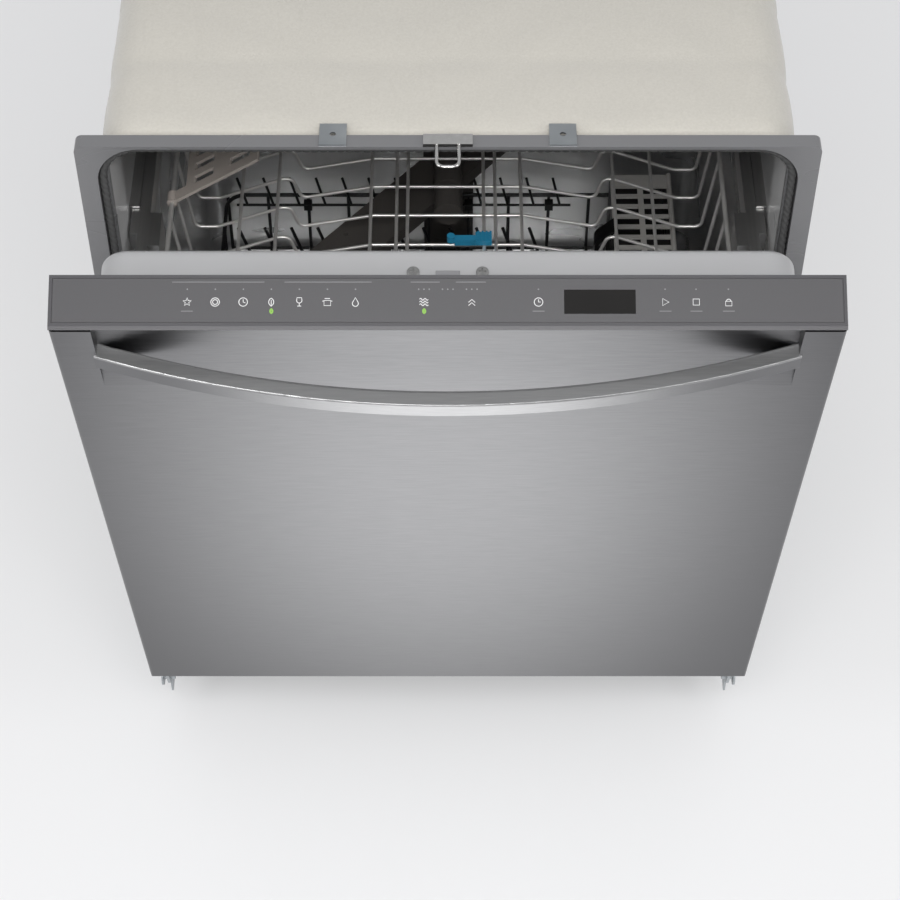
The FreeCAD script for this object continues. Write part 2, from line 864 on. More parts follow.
def water_conduit():
    """The duct that feeds the upper arms: along the floor, up the back wall and under the ceiling."""
    half = conduit_width / 2
    back = tub_depth - conduit_wall_gap
    low = tub_floor_z + seat_gap
    roof = tub_ceiling_z - conduit_wall_gap
    floor_run = block(
        (-half, half), (conduit_start_y, back - tub_back_radius), (low, low + conduit_height)
    )
    rise = block((-half, half), (back - conduit_depth, back), (low + tub_back_radius, roof - tub_back_radius))
    heel = prism_x([
        (back - tub_back_radius - conduit_depth, low),
        (back - tub_back_radius, low),
        (back, low + tub_back_radius),
        (back - conduit_depth, low + tub_back_radius + conduit_depth),
    ], half)
    ceiling_run = block(
        (-half, half), (sump_y - half, back - tub_back_radius), (roof - conduit_height, roof)
    )
    shoulder = prism_x([
        (back - tub_back_radius - conduit_depth, roof),
        (back - tub_back_radius, roof),
        (back, roof - tub_back_radius),
        (back - conduit_depth, roof - tub_back_radius - conduit_depth),
    ], half)
    dock = Part.makeCylinder(
        dock_radius, dock_length, Vector(0, back - conduit_depth, feed_tube_z), -Y_AXIS
    )
    boss_z = roof - conduit_height
    boss = Part.makeCylinder(ceiling_boss_radius, ceiling_boss_height, Vector(0, sump_y, boss_z), -Z_AXIS)
    pin_z = boss_z - ceiling_boss_height
    pin = Part.makeCylinder(ceiling_pin_radius, ceiling_pin_length, Vector(0, sump_y, pin_z), -Z_AXIS)
    shape = rise.fuse([floor_run, heel, ceiling_run, shoulder, dock, boss, pin])
    return shape.removeSplitter()


def lower_spray_arm():
    """The arm that turns on the sump's post."""
    centre = Vector(0, sump_y, post_top_z + running_gap)
    return spray_arm(lower_arm_half_length, lower_arm_width, centre, 0, post_pin_radius)


def ceiling_spray_arm():
    """The small arm that turns under the tub's ceiling."""
    roof = tub_ceiling_z - conduit_wall_gap
    top = roof - conduit_height - ceiling_boss_height - running_gap
    centre = Vector(0, sump_y, top - arm_thickness)
    return spray_arm(ceiling_arm_half_length, ceiling_arm_width, centre, 0, ceiling_pin_radius)


def float_cap():
    """The float that shuts the water off, with its stem through the tub floor."""
    seat = Vector(float_x, float_y, tub_floor_z + seat_gap)
    cap = Part.makeCylinder(float_radius, float_height, seat)
    stem = Part.makeCylinder(float_stem_radius, float_stem_length, seat, -Z_AXIS)
    return cap.fuse(stem)


# Strike and brackets on the flange
def door_strike():
    """The wire bail that the door's latch grips, on a plate that sits on the flange."""
    x = strike_leg_spacing / 2
    back = strike_plate_depth / 2
    points = [
        Vector(-x, back, strike_z), Vector(-x, -strike_reach, strike_z),
        Vector(x, -strike_reach, strike_z), Vector(x, back, strike_z),
    ]
    bail = bent_rod(points, strike_wire_radius, strike_bend)
    plate = block(
        (-strike_plate_half_width, strike_plate_half_width), (0, strike_plate_depth),
        (flange_top_z, flange_top_z + strike_plate_thickness),
    )
    return plate.fuse(bail)


def counter_brackets():
    """The two steel tabs on top of the flange that screw up into the counter."""
    tabs = []
    for side in SIDES:
        x = side * bracket_x
        tab = block(
            (x - bracket_width / 2, x + bracket_width / 2),
            (bracket_setback, bracket_setback + bracket_depth), (flange_top_z, flange_top_z + bracket_sheet),
        )
        middle = Vector(x, bracket_setback + bracket_depth / 2, flange_top_z - overrun)
        tabs.append(tab.cut(Part.makeCylinder(bracket_hole_radius, bracket_sheet + overrun * 2, middle)))
    return Part.makeCompound(tabs)


# Door pieces, made shut
def pocket_space(half_width, setback):
    """The space scooped out of the top of the door front, its back fading out in an S curve."""
    deep_y = door_front_y + pocket_depth + setback
    face_y = door_front_y + setback - pocket_edge_run
    front_y = face_y - overrun
    deep_z = steel_top_z - pocket_flat_height
    face_z = deep_z - pocket_fade_height
    fade_depth = deep_y - face_y
    radius = (fade_depth ** 2 + pocket_fade_height ** 2) / (4 * fade_depth)
    quarter = math.asin(pocket_fade_height / 2 / radius) / 2
    run = radius * (1 - math.cos(quarter))
    rise = radius * math.sin(quarter)
    x = -half_width
    top_front = Vector(x, front_y, steel_top_z + overrun * 2)
    top_back = Vector(x, deep_y, steel_top_z + overrun * 2)
    curve_top = Vector(x, deep_y, deep_z)
    curve_middle = Vector(x, (deep_y + face_y) / 2, (deep_z + face_z) / 2)
    curve_end = Vector(x, face_y, face_z)
    low_front = Vector(x, front_y, face_z)
    edges = [
        Part.LineSegment(top_front, top_back),
        Part.LineSegment(top_back, curve_top),
        Part.Arc(curve_top, Vector(x, deep_y - run, deep_z - rise), curve_middle),
        Part.Arc(curve_middle, Vector(x, face_y + run, face_z + rise), curve_end),
        Part.LineSegment(curve_end, low_front),
        Part.LineSegment(low_front, top_front),
    ]
    face = Part.Face(Part.Wire([edge.toShape() for edge in edges]))
    return face.extrude(X_AXIS * half_width * 2)


def door_slab(inset):
    """The block behind the door's outer face, made smaller on every side by the inset."""
    half = half_door - inset
    front = door_front_y + inset
    low = steel_bottom_z + inset
    past = overrun if inset > 0 else 0
    slab = block((-half, half), (front, door_rear_y + past), (low, steel_top_z + past))
    slab = rounded(
        slab, steel_edge_radius - inset,
        lambda edge: lies_at(edge, Y_AXIS, front) and (along(edge, Z_AXIS) or lies_at(edge, Z_AXIS, low)),
    )
    return slab.cut(pocket_space(pocket_half_width + inset, inset))


def outer_panel():
    """The brushed steel front with its scooped pocket and folded edges."""
    sheet = door_slab(0).cut(door_slab(steel_sheet))
    half = half_door - steel_sheet
    past_hem = block(
        (-half, half), (door_front_y + steel_hem, door_rear_y + overrun),
        (steel_bottom_z - overrun, steel_bottom_z + overrun),
    )
    return sheet.cut(past_hem).removeSplitter()


def on_bow(edge, radius):
    """Whether an edge is an arc of a bow of this radius."""
    return isinstance(edge.Curve, Part.Circle) and abs(edge.Curve.Radius - radius) < match_tolerance


def handle():
    """The bowed bar, its ends run into the pocket and over its edges."""
    middle_y = door_front_y - handle_reach + handle_bow_radius
    top = steel_top_z - handle_drop
    low = Vector(0, middle_y, top - handle_height)
    rear_bow = handle_bow_radius - handle_thickness
    outer = Part.makeCylinder(handle_bow_radius, handle_height, low)
    inner = Part.makeCylinder(rear_bow, handle_height, low)
    front = block(
        (-handle_half_length, handle_half_length), (door_front_y - handle_reach - overrun, door_rear_y),
        (top - handle_height, top),
    )
    bar = outer.cut(inner).common(front)
    for bow, radius in ((handle_bow_radius, handle_front_radius), (rear_bow, handle_rear_radius)):
        bar = rounded(bar, radius, lambda edge: on_bow(edge, bow))
    seat = door_slab(0)
    seat.translate(-Y_AXIS * handle_seat_gap)
    return max(bar.cut(seat).Solids, key=lambda solid: solid.Volume)


def inner_liner():
    """The stamped inner door: a plate with a raised plug that fills the tub's mouth."""
    plate = block(
        (-half_door + steel_sheet, half_door - steel_sheet), (door_rear_y - liner_sheet, door_rear_y),
        (liner_skirt_z, liner_top_z),
    )

    def plug(inset):
        half = liner_half_width - inset
        face = liner_face_y - inset
        low = liner_plug_bottom_z + inset
        high = liner_top_z - inset
        shape = block((-half, half), (door_rear_y - liner_sheet - inset, face), (low, high))
        shape = rounded(
            shape, liner_corner_radius - inset,
            lambda edge: along(edge, Y_AXIS) and lies_at(edge, Z_AXIS, high)
        )
        return rounded(shape, liner_rim_radius - inset, lambda edge: lies_at(edge, Y_AXIS, face))

    shape = plate.fuse(plug(0)).cut(plug(liner_sheet))
    cuts = [block(*dispenser_body_span(running_gap))]
    for place in latch_screw_places():
        low = place - Z_AXIS * (liner_sheet + overrun)
        cuts.append(Part.makeCylinder(screw_shank_radius + pin_gap, liner_sheet + overrun * 2, low))
    return shape.cut(cuts).removeSplitter()


def latch_screw_places():
    """Where the two latch screws sit on top of the liner."""
    return [Vector(side * latch_screw_x, door_rear_y + latch_screw_y, liner_top_z) for side in SIDES]


def latch_screws():
    """Two pan-head cross-slot screws beside the latch."""
    screws = []
    for place in latch_screw_places():
        head = Part.makeCylinder(screw_head_radius, screw_head_height, place)
        top = place.z + screw_head_height
        head = rounded(head, screw_head_height / 2, lambda edge: lies_at(edge, Z_AXIS, top))
        shank = Part.makeCylinder(screw_shank_radius, screw_shank_length, place, -Z_AXIS)
        screw = head.fuse(shank)
        for long, wide in ((screw_slot_length, screw_slot_width), (screw_slot_width, screw_slot_length)):
            screw = screw.cut(block(
                (place.x - long / 2, place.x + long / 2), (place.y - wide / 2, place.y + wide / 2),
                (top - screw_slot_depth, top + overrun),
            ))
        screws.append(screw)
    return Part.makeCompound(screws)


def hinge_arm(side):
    """The strap that hangs the door on its pin, riveted to the front of the liner."""
    back = door_rear_y - liner_sheet
    low_x = hinge_arm_x
    strap = plate_x([
        (hinge_y - hinge_arm_boss, hinge_z), (hinge_y + hinge_arm_boss, hinge_z),
        (back, liner_plug_bottom_z), (back, hinge_arm_top_z), (back - hinge_arm_width, hinge_arm_top_z),
        (back - hinge_arm_width, liner_plug_bottom_z),
    ], low_x, hinge_arm_sheet)
    boss = Part.makeCylinder(hinge_arm_boss, hinge_arm_sheet, Vector(low_x, hinge_y, hinge_z), X_AXIS)
    tab = block(
        (low_x - hinge_arm_width / 2, low_x), (back - hinge_arm_sheet, back),
        (liner_plug_bottom_z, hinge_arm_top_z),
    )
    bore_start = Vector(low_x - overrun, hinge_y, hinge_z)
    bore = Part.makeCylinder(hinge_pin_radius + pin_gap, hinge_arm_sheet + overrun * 2, bore_start, X_AXIS)
    shape = strap.fuse([boss, tab]).cut(bore).removeSplitter()
    if side < 0:
        shape = shape.mirror(Vector(), X_AXIS)
    return shape


def bottom_seal():
    """The rubber strip that closes the foot of the door, with a lip that hangs from it."""
    back = door_rear_y - liner_sheet
    top = steel_bottom_z
    strip = prism_x([
        (back - seal_depth, top), (back, top), (back, top - seal_height),
        (back - seal_lip, top - seal_height), (back - seal_depth, top - seal_lip),
    ], hinge_arm_x - seal_end_gap)
    return strip


# Console pieces
def console_point(run, lift):
    """A point on the console's sloping top: a run back from its bevel and a lift off the face."""
    start_y = door_front_y + console_bevel_depth
    start_z = console_front_z + console_bevel_rise
    slope = math.atan2(console_rear_z - start_z, door_rear_y - start_y)
    y = start_y + run * math.cos(slope) - lift * math.sin(slope)
    z = start_z + run * math.sin(slope) + lift * math.cos(slope)
    return y, z


def console_top_length():
    """How far the console's top runs from its front bevel to its back edge."""
    rise = console_rise - console_bevel_rise
    return math.hypot(rise, door_rear_y - door_front_y - console_bevel_depth)


def console_strip(low_run, high_run, low_lift, high_lift, half_width):
    """A strip laid on the console's top, given by its runs and lifts."""
    return prism_x([
        console_point(low_run, low_lift), console_point(high_run, low_lift),
        console_point(high_run, high_lift), console_point(low_run, high_lift),
    ], half_width)


def display_span(gap):
    """The display window's block, grown by a gap, before it is cut to the overlay's thickness."""
    shape = console_strip(
        display_front_inset - gap, display_front_inset + display_length + gap,
        -overlay_depth, overrun if gap > 0 else 0, display_width / 2 + gap,
    )
    shape.translate(X_AXIS * (display_left_x + display_width / 2))
    return shape


def console():
    """The control console along the top of the door, hollow underneath."""
    cap = prism_x([
        (door_front_y, console_front_z),
        (door_front_y + console_bevel_depth, console_front_z + console_bevel_rise),
        (door_rear_y, console_rear_z), (door_rear_y, console_front_z),
    ], half_door)
    half = half_door - steel_sheet - console_inset
    body = block((-half, half), (console_body_y, door_rear_y), (liner_top_z, console_front_z))
    hollow = block(
        (-half + console_wall, half - console_wall),
        (console_body_y + console_wall, door_rear_y - console_wall),
        (liner_top_z - overrun, console_front_z + console_roof_gap),
    )
    back_run = console_top_length() - overlay_inset
    recess = console_strip(overlay_inset, back_run, -overlay_depth, overrun, half_door - overlay_inset)
    slot = block(
        (-latch_slot_half_width, latch_slot_half_width),
        (door_rear_y - console_wall - overrun, door_rear_y + overrun),
        (strike_z - latch_slot_half_height, strike_z + latch_slot_half_height),
    )
    return cap.fuse(body).cut([hollow, recess, slot]).removeSplitter()


def control_overlay():
    """The thin printed panel let into the console's top, with a hole for the display."""
    inset = overlay_inset + overlay_groove
    sheet = console_strip(inset, console_top_length() - inset, -overlay_depth, 0, half_door - inset)
    return sheet.cut(display_span(pin_gap))


def display_window():
    """The dark display pane, flush with the overlay."""
    return display_span(0)


def control_board():
    """The circuit board that hangs from posts under the console's top."""
    roof = console_front_z + console_roof_gap
    y = (console_body_y + console_wall + board_margin, door_rear_y - console_wall - board_margin)
    top = roof - board_post_height
    board = block((-board_half_width, board_half_width), y, (top - board_thickness, top))
    posts = []
    for side in SIDES:
        for post_y in (y[0] + board_post_radius, y[1] - board_post_radius):
            place = Vector(side * (board_half_width - board_post_radius), post_y, top - board_thickness / 2)
            posts.append(Part.makeCylinder(board_post_radius, board_post_height + board_thickness / 2, place))
    return board.fuse(posts).removeSplitter()


def latch_housing():
    """The latch body behind the console's back wall, with the mouth that takes the strike."""
    back = door_rear_y - console_wall
    front = console_body_y + console_wall + board_margin / 2
    body = block(
        (-latch_half_width, latch_half_width), (front, back), (liner_top_z, liner_top_z + latch_height)
    )
    mouth = block(
        (-latch_slot_half_width, latch_slot_half_width), (front - overrun, back + overrun),
        (strike_z - latch_slot_half_height, strike_z + latch_slot_half_height),
    )
    return body.cut(mouth)


# Dispenser pieces, on the liner
def dispenser_body_span(gap):
    """The dispenser's body behind the liner's face, grown by a gap, as ranges of X, Y and Z."""
    half = dispenser_width / 2 - dispenser_rim_width + gap
    high = dispenser_height / 2 - dispenser_rim_width + gap
    return (
        (dispenser_x - half, dispenser_x + half),
        (liner_face_y - dispenser_body_depth, liner_face_y + overrun if gap > 0 else liner_face_y),
        (dispenser_z - high, dispenser_z + high),
    )


def cup_range():
    """The detergent cup's left and right edges."""
    left = dispenser_x - dispenser_width / 2 + cup_margin
    return left, left + cup_width


def dispenser_body():
    """The dispenser: a rim on the liner, a detergent cup and a seat for the rinse-aid cap."""
    face = liner_face_y + dispenser_rim
    rim = block(
        (dispenser_x - dispenser_width / 2, dispenser_x + dispenser_width / 2), (liner_face_y, face),
        (dispenser_z - dispenser_height / 2, dispenser_z + dispenser_height / 2),
    )
    body = rim.fuse(block(*dispenser_body_span(0)))
    cup = block(
        cup_range(), (face - cup_depth, face + overrun),
        (dispenser_z - cup_height / 2, dispenser_z + cup_height / 2),
    )
    return body.cut(cup).removeSplitter()


def lid_hinge_place():
    """The middle of the detergent lid's hinge line, along the lid's lower edge."""
    y = liner_face_y + dispenser_rim + running_gap + lid_barrel_radius
    z = dispenser_z - cup_height / 2 - dispenser_lid_overlap
    return Vector(sum(cup_range()) / 2, y, z)


def dispenser_lid():
    """The detergent cup's lid, with a barrel along its hinge line."""
    place = lid_hinge_place()
    left, right = cup_range()
    x = (left - dispenser_lid_overlap, right + dispenser_lid_overlap)
    low_y = liner_face_y + dispenser_rim + running_gap
    top = dispenser_z + cup_height / 2 + dispenser_lid_overlap
    lid = block(x, (low_y, low_y + dispenser_lid_thickness), (place.z, top))
    barrel = rod(Vector(x[0], place.y, place.z), Vector(x[1], place.y, place.z), lid_barrel_radius)
    return lid.fuse(barrel)


def rinse_place():
    """The middle of the rinse-aid cap's seat."""
    return Vector(dispenser_x + rinse_x, liner_face_y + dispenser_rim + seat_gap, dispenser_z)


def rinse_cap():
    """The rinse-aid cap with its finger grip."""
    place = rinse_place()
    cap = Part.makeCylinder(rinse_radius, rinse_cap_height, place, Y_AXIS)
    top = place.y + rinse_cap_height
    grip = block(
        (place.x - rinse_radius / 2, place.x + rinse_radius / 2), (top, top + rinse_grip_height),
        (place.z - rinse_grip_width / 2, place.z + rinse_grip_width / 2),
    )
    return cap.fuse(grip)


# Rails of the upper rack
def channel(web_x, open_x, front_y):
    """Two U rails, one on each side, with the web at one X and the open side towards the other."""
    inward = 1 if open_x < web_x else -1
    rails = []
    y = (front_y, front_y + rail_length)
    for side in SIDES:
        low_web = min(web_x, web_x - inward * rail_sheet)
        web = (low_web, low_web + rail_sheet)
        whole = (min(web_x, open_x), max(web_x, open_x))
        pieces = [block(web, y, (rail_z - rail_half_height, rail_z + rail_half_height))]
        for edge in SIDES:
            outer = rail_z + edge * rail_half_height
            inner = outer - edge * rail_sheet
            pieces.append(block(whole, y, (min(outer, inner), max(outer, inner))))
        rail = pieces[0].fuse(pieces[1:]).removeSplitter()
        rails.append(rail if side > 0 else rail.mirror(Vector(), X_AXIS))
    return rails


def outer_rails():
    """The rails fixed to the tub's side walls."""
    return Part.makeCompound(channel(half_tub, outer_rail_inner_x, rail_front_y))


def middle_rails():
    """The sliding bars between the tub's rails and the rack's rails."""
    half = rail_half_height - rail_sheet - rail_gap
    bars = []
    for side in SIDES:
        bar = block(
            (rail_bar_inner_x, rail_bar_outer_x), (rail_front_y, rail_front_y + rail_length),
            (rail_z - half, rail_z + half),
        )
        bars.append(bar if side > 0 else bar.mirror(Vector(), X_AXIS))
    return Part.makeCompound(bars)


def rack_rails():
    """The rails on the rack's sides, each with two blocks that reach in to the rack's top wire."""
    rim_face = upper_half_rim + rim_radius + seat_gap
    open_x = outer_rail_inner_x - rail_gap
    pieces = channel(rack_rail_inner_x, open_x, rail_front_y)
    low = upper_rim_z - rim_radius
    for side in SIDES:
        for share in bracket_place_shares:
            middle = upper_rack_front_y + upper_rack_depth * share
            link = block(
                (rim_face, rack_rail_inner_x),
                (middle - bracket_block_length / 2, middle + bracket_block_length / 2),
                (low, rail_z + rail_half_height),
            )
            pieces.append(link if side > 0 else link.mirror(Vector(), X_AXIS))
    return Part.makeCompound(pieces)


# Upper rack pieces
def floor_profile():
    """The right half of the upper rack's floor, from the middle outwards, as (x, z)."""
    return [
        (0, upper_floor_z), (plateau_half_width, upper_floor_z), (trough_x, upper_floor_z - trough_drop),
        (hump_start_x, upper_floor_z + hump_rise), (hump_end_x, upper_floor_z + hump_rise),
        (outer_trough_x, upper_floor_z - trough_drop),
        (upper_half_floor, upper_floor_z - trough_drop),
    ]


def floor_height(x):
    """The height of the upper rack's floor wires at an X."""
    profile = floor_profile()
    for (near, near_z), (far, far_z) in zip(profile, profile[1:]):
        if near <= abs(x) <= far:
            return near_z + (far_z - near_z) * (abs(x) - near) / (far - near)
    return upper_floor_z - trough_drop


def bay_y(bay):
    """The Y of one of the upper rack's cross wires."""
    return upper_rack_front_y + upper_rack_pitch * bay


def upper_rack():
    """The coated wire rack: stepped cross wires, wall wires, long wires and a rim."""
    wires = []
    low_wall = upper_floor_z - trough_drop + floor_upturn
    turn_x = upper_half_floor + upper_wall_lean * floor_upturn / (upper_rim_height + trough_drop)
    half = floor_profile()[1:] + [(turn_x, low_wall)]
    outline = [(-x, z) for x, z in reversed(half)] + half
    for bay in range(upper_rack_bays + 1):
        y = bay_y(bay)
        wires.append(bent_rod([Vector(x, y, z) for x, z in outline], wire_radius, floor_bend))
        for side in SIDES:
            foot_point = Vector(side * turn_x, y, low_wall)
            wires.append(rod(foot_point, Vector(side * upper_half_rim, y, upper_rim_z), wire_radius))
    for share in upper_y_wire_shares:
        x = share * upper_half_floor
        z = floor_height(x) + wire_radius * 2
        ends = (bay_y(0), bay_y(upper_rack_bays))
        wires.append(rod(Vector(x, ends[0], z), Vector(x, ends[1], z), wire_radius))
        for y in ends:
            wires.append(rod(Vector(x, y, z), Vector(x, y, upper_rim_z), wire_radius))
    wires += wire_rim(upper_half_rim, bay_y(0), bay_y(upper_rack_bays), upper_rim_z)
    return Part.makeCompound(wires)


def feed_tube_front():
    """The front end of the feed tube."""
    return upper_rack_front_y + feed_tube_front_inset


def rack_feed_tube():
    """The water tube under the rack, with rings round it and the boss that carries the middle arm."""
    front = Vector(0, feed_tube_front(), feed_tube_z)
    length = feed_tube_rear_y - feed_tube_front()
    tube = Part.makeCylinder(feed_tube_radius, length, front, Y_AXIS)
    boss_top = Vector(0, middle_hub_y, feed_tube_z)
    boss = Part.makeCylinder(middle_boss_radius, middle_boss_height, boss_top, -Z_AXIS)
    pin_top = boss_top - Z_AXIS * middle_boss_height
    pin = Part.makeCylinder(middle_pin_radius, middle_pin_length, pin_top, -Z_AXIS)
    rings = []
    for share in feed_ring_shares:
        place = front + Y_AXIS * length * share
        rings.append(Part.makeCylinder(feed_ring_radius, feed_ring_width, place, Y_AXIS))
    bore_start = front + Y_AXIS * (feed_tube_radius - feed_tube_bore)
    bore = Part.makeCylinder(feed_tube_bore, length, bore_start, Y_AXIS)
    return tube.fuse(rings + [boss, pin]).cut(bore).removeSplitter()


def middle_spray_arm():
    """The arm that turns under the upper rack."""
    top = feed_tube_z - middle_boss_height - running_gap
    centre = Vector(0, middle_hub_y, top - arm_thickness)
    return spray_arm(
        middle_arm_half_length, middle_arm_width, centre, middle_arm_turn, middle_pin_radius
    )


def blue_clip():
    """The ribbed clip on the middle of the rack's floor, with a bar to a round knob."""
    middle = bay_y(blue_clip_bay)
    low = upper_floor_z + wire_radius * 2 + blue_clip_rise
    end = blue_clip_start + blue_clip_width
    y = (middle - blue_clip_depth / 2, middle + blue_clip_depth / 2)
    top = low + blue_clip_height
    shape = block((blue_clip_start, end), y, (low, top))
    pitch = blue_clip_width / blue_rib_count
    for rib in range(blue_rib_count):
        start = blue_clip_start + pitch * rib
        groove_z = (top - blue_rib_depth, top + overrun)
        groove = block((start, start + pitch / 2), (y[0] - overrun, y[1] + overrun), groove_z)
        shape = shape.cut(groove)
    bar_y = (middle - blue_bar_depth / 2, middle + blue_bar_depth / 2)
    bar = block((blue_knob_x, blue_clip_start), bar_y, (low, low + blue_bar_height))
    knob = Part.makeCylinder(blue_knob_radius, blue_clip_height, Vector(blue_knob_x, middle, low))
    stem_low = upper_floor_z + wire_radius + seat_gap
    stem = block((blue_knob_x + blue_knob_radius, blue_clip_start), bar_y, (stem_low, low))
    return shape.fuse([bar, knob, stem]).removeSplitter()


def shelf_pivot():
    """A point on the cup shelf's hinge line: the rack's left top wire."""
    return Vector(-upper_half_rim, bay_y(shelf_start_bay) - upper_rack_pitch / 2, upper_rim_z)


def cup_shelf():
    """The slotted cup shelf, hung on the rack's left top wire by two rings and tilted up."""
    pivot = shelf_pivot()
    x = (pivot.x + shelf_offset, pivot.x + shelf_offset + shelf_width)
    y = (pivot.y, pivot.y + shelf_length)
    z = (pivot.z - shelf_sheet / 2, pivot.z + shelf_sheet / 2)
    plate = block(x, y, z)
    slots = []
    rows = int((shelf_length - shelf_margin * 2) / shelf_slot_pitch)
    for row in range(rows):
        start_y = y[0] + shelf_margin + shelf_slot_pitch * row
        for column in SIDES:
            middle = (x[0] + x[1]) / 2 + column * shelf_width / 4
            slots.append(block(
                (middle - shelf_slot_length / 2, middle + shelf_slot_length / 2),
                (start_y, start_y + shelf_slot_width), (z[0] - overrun, z[1] + overrun),
            ))
    plate = plate.cut(slots)
    for ring_y in (y[0], y[1] - shelf_ring_length):
        ring = Part.makeCylinder(
            shelf_ring_radius, shelf_ring_length, Vector(pivot.x, ring_y, pivot.z), Y_AXIS
        )
        link = block((pivot.x, x[0]), (ring_y, ring_y + shelf_ring_length), z)
        plate = plate.fuse([ring, link])
    bore_start = Vector(pivot.x, y[0] - overrun, pivot.z)
    bore = Part.makeCylinder(rim_radius + pin_gap, shelf_length + overrun * 2, bore_start, Y_AXIS)
    plate = plate.cut(bore).removeSplitter()
    plate.rotate(pivot, Y_AXIS, -shelf_tilt)
    return plate


# Lower rack pieces
def lower_bay_y(bay):
    """The Y of one of the lower rack's cross wires."""
    return lower_rack_front_y + lower_rack_pitch * bay


def lower_cross_x(cross):
    """The X of one of the lower rack's long wires."""
    return lower_half_width * 2 / (lower_cross_count + 1) * cross - lower_half_width


def leaning(angle):
    """The direction of a tine that leans to the left by an angle."""
    lean = math.radians(angle)
    return Vector(-math.sin(lean), 0, math.cos(lean))


def lower_rack():
    """The lower wire rack with its fixed tines and the arms that hold its wheels."""
    wires = []
    ends = (lower_bay_y(0), lower_bay_y(lower_rack_bays))
    for bay in range(lower_rack_bays + 1):
        y = lower_bay_y(bay)
        low = [Vector(side * lower_half_width, y, lower_floor_z) for side in SIDES]
        wires.append(rod(low[0], low[1], lower_wire_radius))
        for point in low:
            wires.append(rod(point, Vector(point.x, y, lower_rim_z), lower_wire_radius))
    for cross in range(1, lower_cross_count + 1):
        x = lower_cross_x(cross)
        z = lower_floor_z + lower_wire_radius * 2
        wires.append(rod(Vector(x, ends[0], z), Vector(x, ends[1], z), lower_wire_radius))
        for y in ends:
            wires.append(rod(Vector(x, y, z), Vector(x, y, lower_rim_z), lower_wire_radius))
    rise = leaning(lower_tine_lean)
    for bay in lower_tine_bays:
        for place in range(lower_tine_count):
            base = Vector(lower_tine_start_x + lower_tine_pitch * place, lower_bay_y(bay), lower_floor_z)
            wires.append(rod(base, base + rise * lower_tine_length, lower_wire_radius))
    wires += wire_rim(lower_half_width, ends[0], ends[1], lower_rim_z)
    return Part.makeCompound(wires + wheel_arms())


def tine_rod_place(side):
    """The left end of a folding tine row's rod, in front of the lower rack's back wall."""
    wall_front = lower_bay_y(lower_rack_bays) - lower_wire_radius
    y = wall_front - seat_gap - clip_size / 2
    return Vector(tine_rod_spans[side][0], y, lower_floor_z + tine_rod_rise)


def tine_row(side):
    """A row of tines on a rod that turns, so that the row folds forwards."""
    start = tine_rod_place(side)
    pieces = [rod(start, Vector(tine_rod_spans[side][1], start.y, start.z), tine_radius)]
    for number in tine_numbers[side]:
        base = Vector(tine_middle_x + lower_tine_pitch * number, start.y, start.z)
        pieces.append(rod(base, base + leaning(tine_lean) * tine_length, tine_radius))
    return Part.makeCompound(pieces)


def tine_clips():
    """The clips that hold the tine rods on the wires of the lower rack's back wall."""
    clips = []
    for side in SIDES:
        place = tine_rod_place(side)
        for cross in clip_crosses[side]:
            x = lower_cross_x(cross)
            clip = block(
                (x - clip_size / 2, x + clip_size / 2), (place.y - clip_size / 2, place.y + clip_size / 2),
                (place.z - clip_size / 2, place.z + clip_size / 2),
            )
            start = Vector(x - clip_size, place.y, place.z)
            bore = Part.makeCylinder(tine_radius + running_gap, clip_size * 2, start, X_AXIS)
            clips.append(clip.cut(bore))
    return Part.makeCompound(clips)


def wheel_arms():
    """The brackets on the lower rack's sides that carry the wheel axles."""
    arms = []
    inner_x = wheel_x - wheel_width / 2 - running_gap - axle_arm_sheet
    for side in SIDES:
        for y in (wheel_front_y, wheel_rear_y):
            arm = block(
                (inner_x, inner_x + axle_arm_sheet), (y - axle_arm_width / 2, y + axle_arm_width / 2),
                (wheel_z - axle_arm_width / 2, lower_floor_z + lower_wire_radius * 2),
            )
            axle = Part.makeCylinder(
                axle_radius, axle_arm_sheet + running_gap + wheel_width, Vector(inner_x, y, wheel_z), X_AXIS
            )
            arm = arm.fuse(axle)
            arms.append(arm if side > 0 else arm.mirror(Vector(), X_AXIS))
    return arms


def wheel_pair(y):
    """A pair of wheels on one line, one at each side of the lower rack."""
    wheels = []
    for side in SIDES:
        start = Vector(side * wheel_x - wheel_width / 2, y, wheel_z)
        wheel = Part.makeCylinder(wheel_radius, wheel_width, start, X_AXIS)
        wheels.append(wheel.cut(Part.makeCylinder(wheel_bore, wheel_width, start, X_AXIS)))
    return Part.makeCompound(wheels)


def basket_span():
    """The silverware basket's outside, as ranges of X, Y and Z."""
    right = lower_half_width - basket_right_margin
    rear = lower_bay_y(lower_rack_bays) - basket_rear_inset
    low = lower_floor_z + lower_wire_radius * 3 + basket_clearance
    return (right - basket_width, right), (rear - basket_length, rear), (low, low + basket_height)


def silverware_basket():
    """The basket with its cells, slotted down both long sides."""
    x, y, z = basket_span()
    wall = basket_wall
    shape = block(x, y, z)
    cell = (basket_length - wall * (basket_cells + 1)) / basket_cells
    for place in range(basket_cells):
        start = y[0] + wall + (cell + wall) * place
        shape = shape.cut(block(
            (x[0] + wall, x[1] - wall), (start, start + cell), (z[0] + wall, z[1] + overrun)
        ))
    slots = []
    for place in range(int((basket_length - basket_slot_margin * 2) / basket_slot_pitch)):
        start = y[0] + basket_slot_margin + basket_slot_pitch * place
        slots.append(block(
            (x[0] - overrun, x[1] + overrun), (start, start + basket_slot_width),
            (z[0] + basket_slot_margin, z[1] - basket_slot_margin * 2),
        ))
    return shape.cut(slots)


def basket_lid_place():
    """The middle of the basket lid's hinge line, over the basket's right wall."""
    x, y, z = basket_span()
    return Vector(x[1], sum(y) / 2, z[1] + running_gap + basket_lid_barrel)


